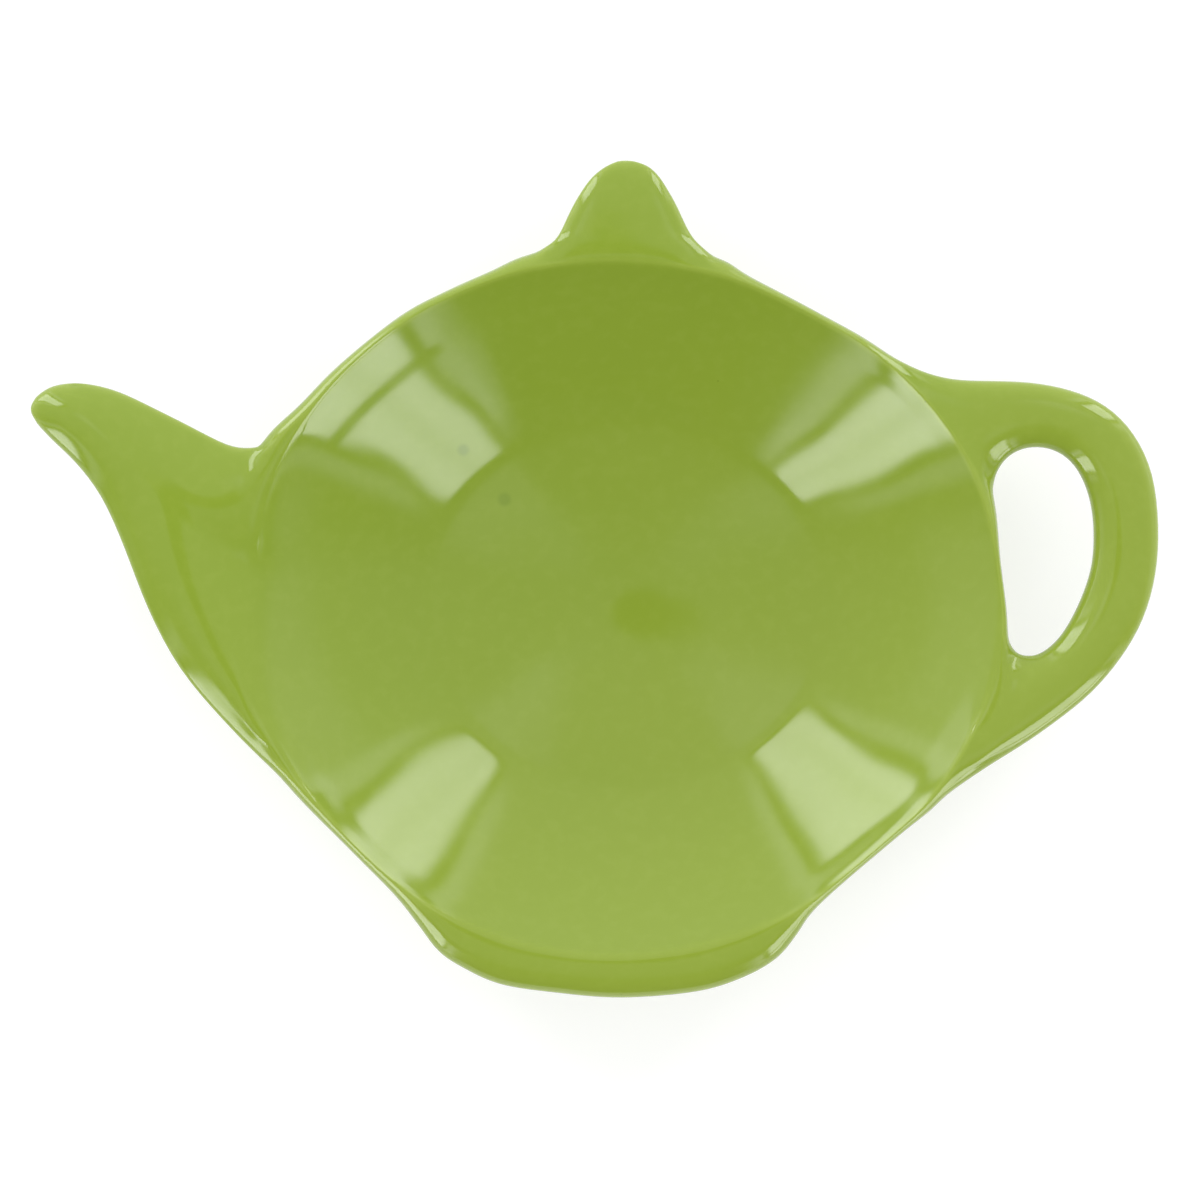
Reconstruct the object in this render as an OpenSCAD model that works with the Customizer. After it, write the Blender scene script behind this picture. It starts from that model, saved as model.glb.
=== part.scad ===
// Tea bag rest
// A small stoneware dish in the outline of a teapot: a round well with a spout at
// the left, a lid knob at the back, a strap handle at the right and a wide foot in
// front. The clay elements meet face to face where they are luted together. A coat
// of green glaze covers them all but for the foot ring, which stays bare clay.
// +Z is up, +X points to the handle and +Y to the knob. The origin is the middle of
// the foot ring, on the table. Lengths are in millimetres.

/* [Dish] */
// Width of the dish alone, left to right
dish_w = 82; // [74:0.2:90]
// Depth of the dish alone, from the knob's root to the front of the foot
dish_d = 80.2; // [72:0.2:88]
// Height of the rim above the table
rim_h = 19; // [17.5:0.5:24]
// Thickness of the rim at its rounded outer edge
rim_t = 4.4; // [3.4:0.1:5.6]
// Radius of the flat middle of the underside
base_r = 23.5; // [23:0.1:26]

/* [Well] */
// Width of the well at its edge
well_w = 79.2; // [66:0.2:84]
// Length of the well at its edge, back to front
well_l = 73; // [62:0.2:78]
// Drop from the rim to the middle of the floor
well_drop = 13; // [9:0.1:13.6]
// Least width of the lip between the well and the outer edge
lip_w = 1.2; // [0.9:0.1:3]
// Radius that eases the edge of the well
well_edge_r = 0.5; // [0.3:0.1:1]

/* [Spout] */
// Reach of the spout beyond the line across its root
spout_reach = 25.5; // [20:0.5:32]
// Thickness of the spout at its middle
spout_t = 5.2; // [4:0.1:6.4]

/* [Lid knob] */
// Reach of the knob beyond the line across its root
knob_reach = 10; // [8:0.1:13]
// Thickness of the knob at its middle
knob_t = 4.6; // [4:0.1:5.6]

/* [Handle] */
// Reach of the handle beyond the middle of its two roots
handle_reach = 21.3; // [19:0.1:26]
// Thickness of the strap
strap_t = 5; // [4:0.1:6]

/* [Foot ring] */
// Outer radius of the foot ring
foot_r = 22; // [19:0.1:22.4]
// Width of the foot ring
foot_w = 2.6; // [2:0.1:4]
// Height of the foot ring
foot_h = 1.5; // [1:0.1:2.2]
// Radius that eases the ring's lower edges
foot_edge_r = 0.5; // [0.3:0.1:0.8]

/* [Glaze] */
// Thickness of the glaze
glaze_t = 0.3; // [0.2:0.05:0.4]
// Width of clay wiped clean beside the foot ring
glaze_wipe = 0.5; // [0.3:0.1:0.6]

/* [Hidden] */

// Steps between two neighbouring points of the outline
outline_steps = 2;
// Steps between two neighbouring rows of each piece's table
spout_steps = 1;
knob_steps = 1;
handle_steps = 2;
// Facets of the round parts
round_fn = 96;

// Outline of the dish from above, anticlockwise from the right-hand side.
// x is a share of dish_w and y a share of dish_d.
outline_shares = [
    [0.485, 0.060],
    [0.475, 0.150],
    [0.438, 0.237],
    [0.341, 0.332],
    [0.251, 0.387],
    [0.160, 0.436],
    [0.112, 0.463],
    [0.000, 0.478],
    [-0.118, 0.468],
    [-0.178, 0.443],
    [-0.237, 0.416],
    [-0.295, 0.384],
    [-0.373, 0.320],
    [-0.424, 0.267],
    [-0.477, 0.211],
    [-0.500, 0.122],
    [-0.504, 0.032],
    [-0.499, -0.065],
    [-0.483, -0.153],
    [-0.451, -0.228],
    [-0.360, -0.325],
    [-0.304, -0.383],
    [-0.272, -0.424],
    [-0.246, -0.459],
    [-0.215, -0.481],
    [-0.165, -0.504],
    [-0.095, -0.515],
    [-0.009, -0.522],
    [0.090, -0.514],
    [0.151, -0.495],
    [0.194, -0.470],
    [0.220, -0.439],
    [0.240, -0.409],
    [0.280, -0.370],
    [0.355, -0.305],
    [0.415, -0.252],
    [0.478, -0.157],
    [0.495, -0.045]
];

// Points of that outline where a root begins and ends
spout_root = [14, 19];
knob_root = [6, 8];
handle_top_root = [1, 3];
handle_low_root = [37, 35];

// Rings of the well: share of the way from its middle to its edge, and share of the
// rise. The floor is gently dished as far as half way, and the wall rises from there.
well_shares = [
    [0.20, 0.025],
    [0.38, 0.089],
    [0.52, 0.167],
    [0.62, 0.254],
    [0.72, 0.399],
    [0.82, 0.571],
    [0.92, 0.790],
    [1.00, 1.000]
];
// Exponent of the well's outline at its edge, where 2 is an ellipse
well_power = 2.5;
// Power of that share by which a ring leaves its ellipse for the shape of the edge
well_edge_power = 3;
// Shares of the lip that its outer and its inner rounding may take
outer_round_share = 0.6;
inner_round_share = 0.3;
// Angles of the rings that round the rim, above and below its middle
rim_angles = [35, 65];
// Slope under the dish: shares of the way from the rim to the base, and of the drop
slope_shares = [[0.36, 0.48], [0.7, 0.82]];
// Ring of the base inside the foot, as a share of the foot's radius
base_ring_share = 0.5;

// Rows of the spout from its root to its tip: back edge x and y, front edge x and y,
// drop of the top, thickness. x is a share of spout_reach beyond the root, y a share
// of half the root's width, the drop a share of rim_t, the thickness one of spout_t.
spout_shares = [
    [0.088, 0.991, 0.073, -0.841, 0.00, 0.90],
    [0.179, 1.009, 0.202, -0.648, 0.00, 0.97],
    [0.336, 1.125, 0.375, -0.352, 0.02, 1.00],
    [0.501, 1.244, 0.509, 0.011, 0.05, 1.00],
    [0.627, 1.330, 0.605, 0.375, 0.09, 0.98],
    [0.741, 1.375, 0.701, 0.687, 0.14, 0.94],
    [0.839, 1.384, 0.811, 0.898, 0.20, 0.86],
    [0.925, 1.358, 0.910, 1.034, 0.28, 0.70],
    [0.980, 1.298, 0.972, 1.131, 0.42, 0.38]
];
spout_tip_shares = [1, 1.22, 0.61];

// Rows of the lid knob: right edge, left edge, drop, thickness, in the same way
knob_shares = [
    [0.110, 0.831, 0.120, -0.820, 0.00, 0.97],
    [0.230, 0.735, 0.230, -0.730, 0.00, 1.00],
    [0.370, 0.661, 0.370, -0.661, 0.00, 1.00],
    [0.530, 0.582, 0.530, -0.577, 0.00, 1.00],
    [0.680, 0.492, 0.680, -0.481, 0.02, 0.98],
    [0.820, 0.397, 0.820, -0.370, 0.06, 0.92],
    [0.935, 0.270, 0.930, -0.222, 0.14, 0.74],
    [0.985, 0.122, 0.985, -0.090, 0.27, 0.44]
];
knob_tip_shares = [1, 0.01, 0.5];

// Rows of the handle from its top root to its low root: edge along the hole, outer
// edge, drop, thickness. x is a share of handle_reach beyond the middle of the two
// roots, y a share of the distance between them.
handle_shares = [
    [0.179, 0.314, -0.206, 0.683, 0.00, 0.93],
    [0.205, 0.353, -0.037, 0.651, 0.00, 0.97],
    [0.254, 0.391, 0.151, 0.646, 0.00, 1.00],
    [0.338, 0.417, 0.353, 0.641, 0.00, 1.00],
    [0.446, 0.415, 0.554, 0.615, 0.01, 1.00],
    [0.540, 0.383, 0.733, 0.561, 0.03, 1.00],
    [0.611, 0.321, 0.874, 0.465, 0.05, 1.00],
    [0.658, 0.231, 0.968, 0.327, 0.07, 1.00],
    [0.674, 0.128, 0.998, 0.151, 0.08, 1.00],
    [0.665, 0.022, 0.984, -0.013, 0.07, 1.00],
    [0.625, -0.071, 0.921, -0.167, 0.05, 1.00],
    [0.566, -0.160, 0.808, -0.301, 0.03, 1.00],
    [0.498, -0.232, 0.658, -0.420, 0.01, 1.00],
    [0.418, -0.279, 0.484, -0.516, 0.00, 1.00],
    [0.348, -0.292, 0.310, -0.599, 0.00, 0.97],
    [0.282, -0.279, 0.127, -0.676, 0.00, 0.93]
];

// Angle on a section where its top turns into its side
corner_angle = 42;
// Exponent of a section's outline, where 2 is an ellipse
section_power = 2.3;
// Sections over which the bulge of the dish's side fades out of a piece
fade_sections = 3;

// Numbers and heights that follow from the values above
columns = outline_steps * len(outline_shares);
rim_round = rim_t / 2;
under_glaze_h = foot_h - glaze_t;
side_top_row = len(well_shares) + 1;
side_rows = 2 * len(rim_angles) + 2;
side_middle_row = len(rim_angles) + 1;

// Curves

// Catmull-Rom curve from b to c at t
function curve_point(a, b, c, d, t) =
    (2 * b + (c - a) * t + (2 * a - 5 * b + 4 * c - d) * pow(t, 2) + (3 * b - a - 3 * c + d) * pow(t, 3)) / 2;

// Closed curve through points
function closed_curve(points, steps) =
    let (n = len(points))
    [for (i = [0:n - 1], s = [0:steps - 1])
        curve_point(points[(i + n - 1) % n], points[i], points[(i + 1) % n], points[(i + 2) % n], s / steps)];

// Open curve through points, the first and the last one included
function open_curve(points, steps) =
    let (last = len(points) - 1)
    concat(
        [for (i = [0:last - 1], s = [0:steps - 1])
            curve_point(points[max(i - 1, 0)], points[i], points[i + 1], points[min(i + 2, last)], s / steps)],
        [points[last]]
    );

// The smaller of two lengths, with the change from one to the other eased
function eased_min(a, b, ease) = (a + b - norm([a - b, ease])) / 2;

function unit(v) = v / norm(v);
function at_height(points, z) = [for (p = points) [p[0], p[1], z]];
function flat(lists) = [for (list = lists) each list];

// Rings of the dish

edge = closed_curve([for (p = outline_shares) [p[0] * dish_w, p[1] * dish_d]], outline_steps);

// Distance from the middle of the well to its outline in the direction of p
function well_radius(p, power) =
    let (x = abs(unit(p)[0]) / well_w * 2, y = abs(unit(p)[1]) / well_l * 2)
    pow(pow(x, power) + pow(y, power), -1 / power);

// The well's edge beside each point of the outline, and the width of the lip there
well_edge = [for (p = edge) unit(p) * eased_min(well_radius(p, well_power), norm(p) - lip_w, lip_w)];
lips = [for (i = [0:columns - 1]) norm(edge[i]) - norm(well_edge[i])];

// A ring of the well: an ellipse near the middle that takes on the shape of the edge
function well_ring(shares) =
    let (to_edge = pow(shares[0], well_edge_power))
    at_height(
        [for (p = well_edge) (unit(p) * well_radius(p, 2) * (1 - to_edge) + p * to_edge) * shares[0]],
        rim_h - well_drop + (well_drop - well_edge_r) * shares[1]
    );

// The outline drawn in above the rim's middle, where the lip sets a limit, and below
function drawn_in(share) =
    [for (i = [0:columns - 1]) edge[i] - unit(edge[i]) * min(rim_round, outer_round_share * lips[i]) * share];
function drawn_in_below(share) = [for (p = edge) p - unit(p) * rim_round * share];

lip_line = [for (i = [0:columns - 1])
    well_edge[i] + unit(edge[i]) * min(well_edge_r, inner_round_share * lips[i])];

function circle_of(radius) = [for (p = edge) unit(p) * radius];

// A ring of the slope from the rim's lower edge down to the base
function slope_ring(shares) =
    let (outer = drawn_in_below(1), inner = circle_of(base_r), drop = rim_h - rim_t - under_glaze_h)
    at_height(outer + (inner - outer) * shares[0], rim_h - rim_t - drop * shares[1]);

rings = concat(
    [for (shares = well_shares) well_ring(shares)],
    [at_height(lip_line, rim_h), at_height(drawn_in(1), rim_h)],
    [for (a = rim_angles) at_height(drawn_in(1 - sin(a)), rim_h - rim_round * (1 - cos(a)))],
    [at_height(edge, rim_h - rim_round)],
    [for (i = [len(rim_angles) - 1:-1:0])
        let (a = rim_angles[i])
        at_height(drawn_in_below(1 - sin(a)), rim_h - rim_round * (1 + cos(a)))],
    [at_height(drawn_in_below(1), rim_h - rim_t)],
    [for (shares = slope_shares) slope_ring(shares)],
    [for (radius = [base_r, foot_r + glaze_wipe, foot_r * base_ring_share])
        at_height(circle_of(radius), under_glaze_h)]
);
last_row = len(rings) - 1;
glaze_line_row = last_row - 1;
well_middle = [0, 0, rim_h - well_drop];
base_middle = [0, 0, under_glaze_h];

// Numbers of the dish's points, ring by ring
base_number = 1 + len(rings) * columns;
function number(row, column) = 1 + row * columns + column % columns;
function ring_numbers(row) = [for (i = [0:columns]) number(row, i)];

// A point of the dish, where the rows before the first and after the last are its middles
function dish_point(row, column) =
    row < 0 ? well_middle : row > last_row ? base_middle : rings[row][(column + columns) % columns];

// A point of the dish's surface, moved in to a depth below the glaze's surface
function deep_point(row, column, depth) =
    let (
        outwards = dish_point(row + 1, column) - dish_point(row - 1, column),
        around = dish_point(row, column + 1) - dish_point(row, column - 1)
    )
    dish_point(row, column) - depth * unit(cross(outwards, around));

// Is a column under one of the roots, its two ends left out?
function inside_root(column) =
    max([for (root = [spout_root, knob_root, handle_top_root, handle_low_root])
        column > min(root) * outline_steps && column < max(root) * outline_steps ? 1 : 0]) == 1;

// All points of the dish at a depth. Under a root the side is cut flat, from the row
// along the root's top to the row along its bottom.
function dish_points(depth) =
    concat(
        [well_middle - [0, 0, depth]],
        [for (row = [0:last_row], i = [0:columns - 1])
            let (share = (row - side_top_row) / side_rows)
            share > 0 && share < 1 && inside_root(i)
            ? deep_point(side_top_row, i, depth) * (1 - share)
                + deep_point(side_top_row + side_rows, i, depth) * share
            : deep_point(row, i, depth)],
        [base_middle + [0, 0, depth]]
    );

// Sections of the spout, the knob and the handle

// Columns from one end of a root to its other end
function root_columns(root) =
    let (a = root[0] * outline_steps, b = root[1] * outline_steps)
    [for (i = [a:(b > a ? 1 : -1):b]) i];

// Rows and columns of the loop round a root: along its top, down, back and up again
function root_loop(root) =
    let (across = root_columns(root), cells = len(across) - 1)
    concat(
        [for (i = across) [side_top_row, i]],
        [for (row = [1:side_rows - 1]) [side_top_row + row, across[cells]]],
        [for (m = [cells:-1:0]) [side_top_row + side_rows, across[m]]],
        [for (row = [side_rows - 1:-1:1]) [side_top_row + row, across[0]]]
    );

// Angle on a section that continues a row of the dish's side
function side_angle(row) =
    row <= side_middle_row
    ? corner_angle * (1 - row / side_middle_row)
    : corner_angle * (side_middle_row - row) / (side_rows - side_middle_row);

// Angles round a section with a number of cells along its top, in the loop's order
function section_angles(cells) =
    let (across = 180 - 2 * corner_angle)
    concat(
        [for (m = [0:cells]) 180 - corner_angle - across * m / cells],
        [for (row = [1:side_rows - 1]) side_angle(row)],
        [for (m = [0:cells]) -corner_angle - across * m / cells],
        [for (row = [side_rows - 1:-1:1]) 180 - side_angle(row)]
    );

// How far the dish's side bulges beyond the straight line across a root, in that order
function root_bulges(root) =
    let (
        across = [for (i = root_columns(root)) edge[i % columns]],
        cells = len(across) - 1,
        along = [for (m = [0:cells]) across[m] - across[0] - (across[cells] - across[0]) * m / cells],
        side = [for (row = [1:side_rows - 1]) [0, 0]]
    )
    concat(along, side, [for (m = [cells:-1:0]) along[m]], side);

function fade(sections) = sections < fade_sections ? pow(1 - sections / fade_sections, 2) : 0;
function rounded(x) = sign(x) * pow(abs(x), 2 / section_power);

// Points round a section. row holds its two edges from above, its top and thickness.
function section(row, bulges) =
    let (
        a = [row[0], row[1]],
        b = [row[2], row[3]],
        half = row[5] / 2,
        angles = section_angles(len(bulges) / 2 - side_rows)
    )
    [for (i = [0:len(bulges) - 1])
        let (p = (a + b) / 2 + (b - a) / 2 * rounded(cos(angles[i])) + bulges[i])
        [p[0], p[1], row[4] - half + half * rounded(sin(angles[i]))]];

// Sections of a piece that grows out of a root and ends free
function free_sections(rows, root) =
    let (bulges = root_bulges(root))
    [for (k = [0:len(rows) - 1]) section(rows[k], bulges * fade(k + 1))];

// Sections of a piece between two roots
function bridge_sections(rows, from, to) =
    let (start = root_bulges(from), end = root_bulges(to), n = len(rows))
    [for (k = [0:n - 1]) section(rows[k], start * fade(k + 1) + end * fade(n - k))];

// The two ends of a root on the outline
function root_ends(root) = [edge[root[0] * outline_steps], edge[root[1] * outline_steps]];

// Rows in millimetres from a table of shares
function placed_rows(table, place, t) =
    [for (r = table)
        let (a = place(r[0], r[1]), b = place(r[2], r[3]))
        [a[0], a[1], b[0], b[1], rim_h - r[4] * rim_t, r[5] * t]];
function root_row(ends) = [ends[0][0], ends[0][1], ends[1][0], ends[1][1], rim_h, rim_t];
function without_first(list) = [for (i = [1:len(list) - 1]) list[i]];
function without_ends(list) = [for (i = [1:len(list) - 2]) list[i]];

spout_ends = root_ends(spout_root);
function spout_place(x, y) =
    (spout_ends[0] + spout_ends[1]) / 2 + [-x * spout_reach, y * (spout_ends[0][1] - spout_ends[1][1]) / 2];
spout_rows = open_curve(
    concat([root_row(spout_ends)], placed_rows(spout_shares, function(x, y) spout_place(x, y), spout_t)),
    spout_steps
);
spout_sections = free_sections(without_first(spout_rows), spout_root);
spout_tip = concat(spout_place(spout_tip_shares[0], spout_tip_shares[1]), [rim_h - spout_tip_shares[2] * rim_t]);

knob_ends = root_ends(knob_root);
function knob_place(x, y) =
    (knob_ends[0] + knob_ends[1]) / 2 + [y * (knob_ends[0][0] - knob_ends[1][0]) / 2, x * knob_reach];
knob_rows = open_curve(
    concat([root_row(knob_ends)], placed_rows(knob_shares, function(x, y) knob_place(x, y), knob_t)),
    knob_steps
);
knob_sections = free_sections(without_first(knob_rows), knob_root);
knob_tip = concat(knob_place(knob_tip_shares[0], knob_tip_shares[1]), [rim_h - knob_tip_shares[2] * rim_t]);

handle_top_ends = root_ends(handle_top_root);
handle_low_ends = root_ends(handle_low_root);
handle_top_middle = (handle_top_ends[0] + handle_top_ends[1]) / 2;
handle_low_middle = (handle_low_ends[0] + handle_low_ends[1]) / 2;
function handle_place(x, y) =
    (handle_top_middle + handle_low_middle) / 2 + [x * handle_reach, y * (handle_top_middle[1] - handle_low_middle[1])];
handle_rows = open_curve(
    concat(
        [root_row(handle_top_ends)],
        placed_rows(handle_shares, function(x, y) handle_place(x, y), strap_t),
        [root_row(handle_low_ends)]
    ),
    handle_steps
);
handle_sections = bridge_sections(without_ends(handle_rows), handle_top_root, handle_low_root);

// Points of a piece's sections at a depth below the glaze's surface. before and after
// are the loops that the first and the last section follow on.
function section_points(before, sections, after, depth) =
    let (loops = concat([before], sections, [after]), n = len(before))
    [for (k = [1:len(sections)], i = [0:n - 1])
        let (
            along = loops[k + 1][i] - loops[k - 1][i],
            around = loops[k][(i + 1) % n] - loops[k][(i + n - 1) % n]
        )
        loops[k][i] - depth * unit(cross(along, around))];

// A free end's point, drawn back towards the middle of the last section
function tip_point(tip, sections, depth) =
    let (last = sections[len(sections) - 1], middle = [for (p = last) 1] * last / len(last))
    tip - depth * unit(tip - middle);

function root_points(root) = [for (p = root_loop(root)) dish_point(p[0], p[1])];
function free_points(root, sections, tip, depth) =
    concat(
        section_points(root_points(root), sections, [for (p = sections[0]) tip], depth),
        [tip_point(tip, sections, depth)]
    );

// Every point of the surface at a depth below the glaze's surface. All pieces share
// these points, so that neighbours meet exactly.
function surface_points(depth) =
    concat(
        dish_points(depth),
        free_points(spout_root, spout_sections, spout_tip, depth),
        free_points(knob_root, knob_sections, knob_tip, depth),
        section_points(root_points(handle_top_root), handle_sections, root_points(handle_low_root), depth)
    );

// Faces, as triangles of point numbers, clockwise from outside

first_spout_number = base_number + 1;
first_knob_number = first_spout_number + len(flat(spout_sections)) + 1;
first_handle_number = first_knob_number + len(flat(knob_sections)) + 1;
points_in_surface = first_handle_number + len(flat(handle_sections));

function reversed(faces) = [for (f = faces) [f[0], f[2], f[1]]];
function closed(list) = concat(list, [list[0]]);

// The band between two lines of point numbers
function band(a, b) =
    [for (i = [0:len(a) - 2]) each [[a[i], b[i + 1], b[i]], [a[i], a[i + 1], b[i + 1]]]];

// The band between two loops of point numbers
function loop_band(a, b) = band(closed(a), closed(b));

// Do the faces between a row and the next, at a column, lie under one of the roots?
function under_root(row, column) =
    row >= side_top_row && row < side_top_row + side_rows
    && max([for (root = [spout_root, knob_root, handle_top_root, handle_low_root])
        column >= min(root) * outline_steps && column < max(root) * outline_steps ? 1 : 0]) == 1;

// Faces of the dish between two rows, with the roots left out where open is true
function ring_faces(first, last, open) =
    [for (row = [first:last - 1], i = [0:columns - 1])
        if (!(open && under_root(row, i)))
            each band([number(row, i), number(row, i + 1)], [number(row + 1, i), number(row + 1, i + 1)])];
well_middle_faces = [for (i = [0:columns - 1]) [0, number(0, i + 1), number(0, i)]];
base_middle_faces = [for (i = [0:columns - 1]) [base_number, number(last_row, i), number(last_row, i + 1)]];

// The dish's faces under a root
function root_faces(root) =
    let (first = min(root) * outline_steps, last = max(root) * outline_steps)
    [for (row = [side_top_row:side_top_row + side_rows - 1], i = [first:last - 1])
        each band([number(row, i), number(row, i + 1)], [number(row + 1, i), number(row + 1, i + 1)])];

// The sides of a piece, through the numbers of its loops
function loop_numbers(root) = [for (p = root_loop(root)) number(p[0], p[1])];
function section_numbers(first, sections) =
    [for (k = [0:len(sections) - 1]) [for (i = [0:len(sections[k]) - 1]) first + k * len(sections[k]) + i]];
function side_faces(loops) = [for (k = [0:len(loops) - 2]) each loop_band(loops[k], loops[k + 1])];

// The sides of a piece with a free end, closed at its tip, whose number comes last
function free_faces(first, sections, root) =
    let (
        loops = concat([loop_numbers(root)], section_numbers(first, sections)),
        tip = first + len(flat(sections)),
        last = closed(loops[len(loops) - 1])
    )
    concat(side_faces(loops), [for (i = [0:len(last) - 2]) [last[i], last[i + 1], tip]]);

spout_faces = free_faces(first_spout_number, spout_sections, spout_root);
knob_faces = free_faces(first_knob_number, knob_sections, knob_root);
handle_faces = side_faces(concat(
    [loop_numbers(handle_top_root)],
    section_numbers(first_handle_number, handle_sections),
    [loop_numbers(handle_low_root)]
));

// The whole glazed surface, and the same surface of the clay below it
glazed_faces = concat(
    well_middle_faces,
    ring_faces(0, glaze_line_row, true),
    spout_faces,
    knob_faces,
    handle_faces
);
clay_under_glaze = [for (f = reversed(glazed_faces)) [for (n = f) n + points_in_surface]];
glaze_line = ring_numbers(glaze_line_row);
clay_line = [for (n = glaze_line) n + points_in_surface];

// Colours of the fired clay and of the glaze
clay_colour = "#e4d9c4";
glaze_colour = "#8ea63e";

module clay(faces) {
    color(clay_colour)
        polyhedron(points = surface_points(glaze_t), faces = faces, convexity = 8);
}

// The bowl of the dish, with its rim, its foot and the flat base
module dish() {
    clay(concat(well_middle_faces, ring_faces(0, last_row, false), base_middle_faces));
}

// The spout, luted to the dish's left side
module spout() {
    clay(concat(spout_faces, reversed(root_faces(spout_root))));
}

// The knob of the teapot's lid, luted to the back
module lid_knob() {
    clay(concat(knob_faces, reversed(root_faces(knob_root))));
}

// The strap of the handle, luted to the dish's right side at both ends
module handle() {
    clay(concat(handle_faces, reversed(root_faces(handle_top_root)), reversed(root_faces(handle_low_root))));
}

// The ring that the dish stands on, turned, with its lower edges eased
module foot_ring() {
    color(clay_colour)
        rotate_extrude($fn = round_fn)
            translate([foot_r - foot_w, 0]) {
                translate([0, foot_edge_r])
                    square([foot_w, foot_h - foot_edge_r]);
                translate([foot_edge_r, 0])
                    square([foot_w - 2 * foot_edge_r, foot_edge_r]);
                for (x = [foot_edge_r, foot_w - foot_edge_r])
                    translate([x, foot_edge_r])
                        circle(r = foot_edge_r, $fn = round_fn);
            }
}

// The glaze over every element of clay, as far as the glaze line beside the foot ring
module glaze_coat() {
    color(glaze_colour)
        polyhedron(
            points = concat(surface_points(0), surface_points(glaze_t)),
            faces = concat(glazed_faces, clay_under_glaze, band(glaze_line, clay_line)),
            convexity = 12
        );
}

// The glaze on the base, inside the foot ring
module base_glaze() {
    color(glaze_colour)
        translate([0, 0, under_glaze_h])
            cylinder(h = glaze_t, r = foot_r - foot_w - glaze_wipe, $fn = round_fn);
}

dish();
spout();
lid_knob();
handle();
foot_ring();
glaze_coat();
base_glaze();
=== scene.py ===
import math

import bpy
import numpy as np
from mathutils import Matrix, Vector, noise


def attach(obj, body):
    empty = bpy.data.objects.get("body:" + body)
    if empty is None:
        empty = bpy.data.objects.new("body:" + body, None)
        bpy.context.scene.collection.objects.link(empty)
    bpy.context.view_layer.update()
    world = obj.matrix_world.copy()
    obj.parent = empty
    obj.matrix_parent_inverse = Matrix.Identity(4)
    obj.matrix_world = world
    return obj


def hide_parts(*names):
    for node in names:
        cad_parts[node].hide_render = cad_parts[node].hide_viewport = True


# Tea bag rest: a small stoneware dish in the outline of a teapot, seen from above.
# +Z is up, +X points to the handle and +Y to the lid knob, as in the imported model.
# Sizes are in millimetres, and MM turns them to metres. Only the studio's are in metres.

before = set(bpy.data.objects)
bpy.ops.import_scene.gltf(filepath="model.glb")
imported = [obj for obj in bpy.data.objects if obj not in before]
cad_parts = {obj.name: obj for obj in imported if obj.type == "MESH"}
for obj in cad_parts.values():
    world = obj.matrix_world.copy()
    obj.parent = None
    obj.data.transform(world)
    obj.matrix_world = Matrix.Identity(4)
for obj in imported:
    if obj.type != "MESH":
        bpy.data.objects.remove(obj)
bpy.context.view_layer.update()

MM = 0.001

# Camera

# The lens looks straight down. SCALE is how many pixels of a 1200-pixel frame one
# millimetre takes at the height of the rim's outer edge.
FRAME_PX = 1200
SENSOR = 36
CAMERA_HEIGHT = 600
CAMERA_X, CAMERA_Y = -2.87, 0.53
SCALE = 9.391
RIM_EDGE_Z = 16.8

camera_data = bpy.data.cameras.new("overhead_camera")
camera_data.sensor_width = SENSOR
camera_data.lens = SENSOR * SCALE * (CAMERA_HEIGHT - RIM_EDGE_Z) / FRAME_PX
camera_data.clip_start = 0.01
camera_data.clip_end = 20
camera = bpy.data.objects.new("overhead_camera", camera_data)
camera.location = (CAMERA_X * MM, CAMERA_Y * MM, CAMERA_HEIGHT * MM)
bpy.context.collection.objects.link(camera)
bpy.context.scene.camera = camera

# The teapot's form

# Dish and well
DISH_W, DISH_D = 82, 80.2
RIM_H, RIM_T = 19, 4.4
BASE_R = 23.5
WELL_W, WELL_L = 79.2, 73
WELL_DROP = 13
LIP_W = 1.2
WELL_EDGE_R = 0.5
WELL_POWER = 2.2
# Spout, knob and handle
SPOUT_REACH, SPOUT_T = 25.5, 5.2
KNOB_REACH, KNOB_T = 10, 4.6
HANDLE_REACH, STRAP_T = 21.3, 5
# Foot ring and glaze
FOOT_R, FOOT_W, FOOT_H = 22, 2.6, 1.5
GLAZE_T, GLAZE_WIPE = 0.3, 0.5
UNDER_GLAZE_H = FOOT_H - GLAZE_T

# Outline of the dish from above, anticlockwise from the right-hand side, as shares of
# its width and depth
OUTLINE = [
    (0.485, 0.060), (0.475, 0.150), (0.438, 0.237), (0.341, 0.332), (0.251, 0.387),
    (0.160, 0.436), (0.112, 0.463), (0.000, 0.478), (-0.118, 0.468), (-0.178, 0.443),
    (-0.237, 0.416), (-0.295, 0.384), (-0.373, 0.320), (-0.424, 0.267), (-0.477, 0.211),
    (-0.500, 0.122), (-0.504, 0.032), (-0.499, -0.065), (-0.483, -0.153), (-0.451, -0.228),
    (-0.360, -0.325), (-0.304, -0.383), (-0.272, -0.424), (-0.246, -0.459), (-0.215, -0.481),
    (-0.165, -0.504), (-0.095, -0.515), (-0.009, -0.522), (0.090, -0.514), (0.151, -0.495),
    (0.194, -0.470), (0.220, -0.439), (0.240, -0.409), (0.280, -0.370), (0.355, -0.305),
    (0.415, -0.252), (0.478, -0.157), (0.495, -0.045),
]
OUTLINE_STEPS = 4

# Points of the outline where each root begins and ends
SPOUT_ROOT = (14, 19)
KNOB_ROOT = (6, 8)
HANDLE_TOP_ROOT = (1, 3)
HANDLE_LOW_ROOT = (37, 35)

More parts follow.
